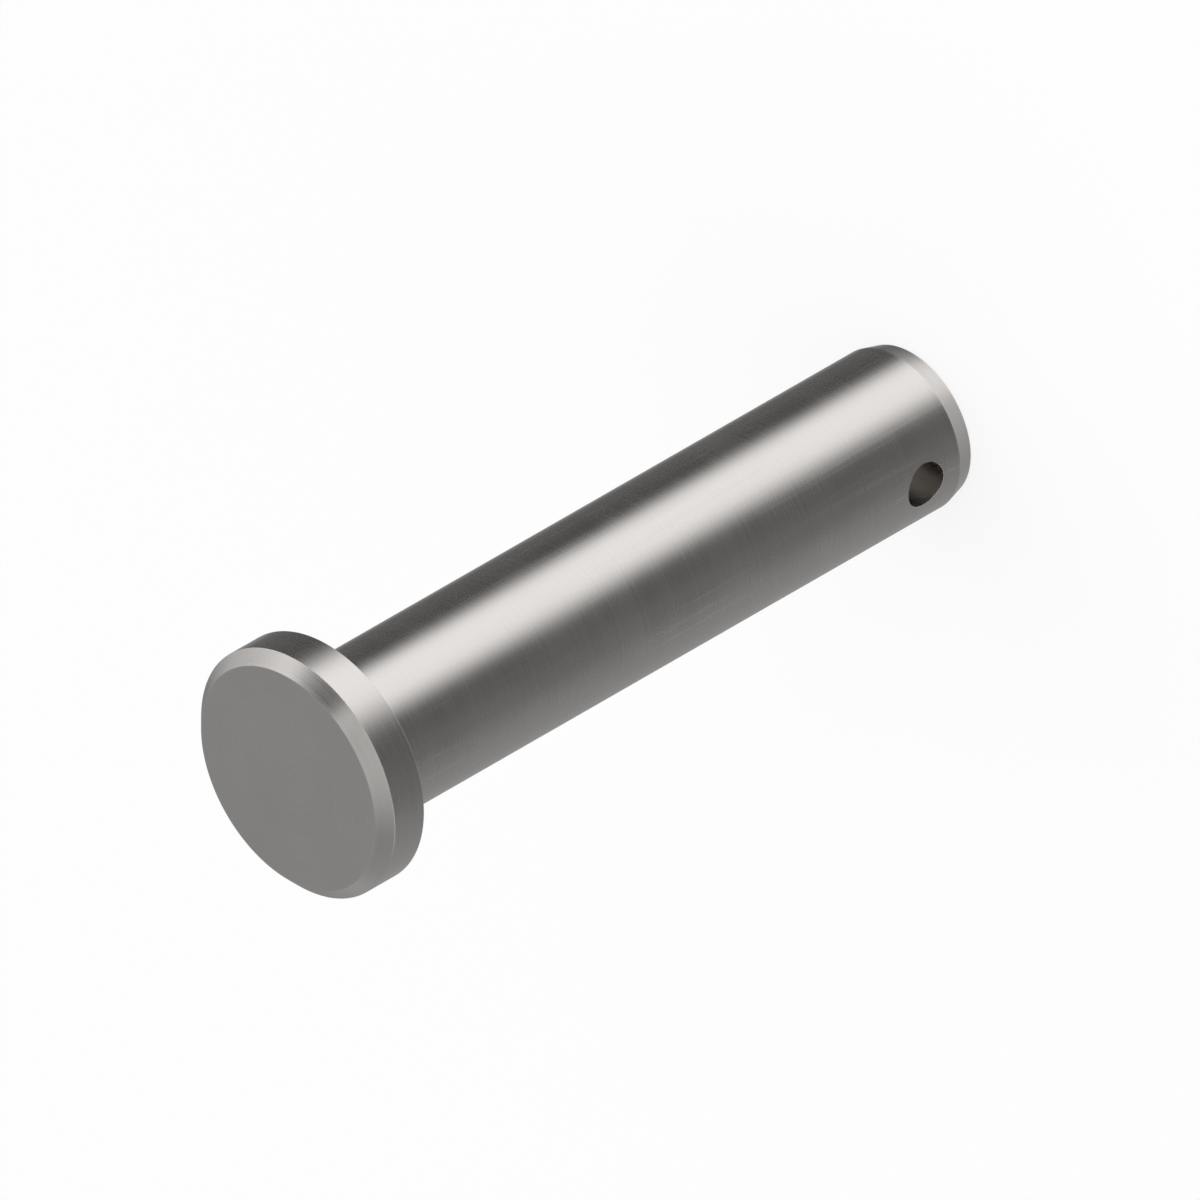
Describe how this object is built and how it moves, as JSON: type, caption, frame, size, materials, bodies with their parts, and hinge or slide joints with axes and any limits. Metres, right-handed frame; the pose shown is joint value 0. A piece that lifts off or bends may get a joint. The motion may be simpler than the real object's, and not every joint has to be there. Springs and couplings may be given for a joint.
{
  "type": "clevis pin",
  "caption": "Headed clevis pin in bare turned steel: a round shank with a chamfered flat head and a cross hole for a split pin near its bevelled end.",
  "frame": {"origin": "centre of the shank's end face, which the pin stands on", "axes": "+Z along the pin's axis, from the point end up to the head; the split pin hole crosses the shank along Y; +X completes the frame"},
  "size_m": [0.02, 0.02, 0.064],
  "materials": {
    "turned_steel": "satin"
  },
  "bodies": {
    "root": {"clevis_pin": "turned_steel"}
  },
  "joints": []
}
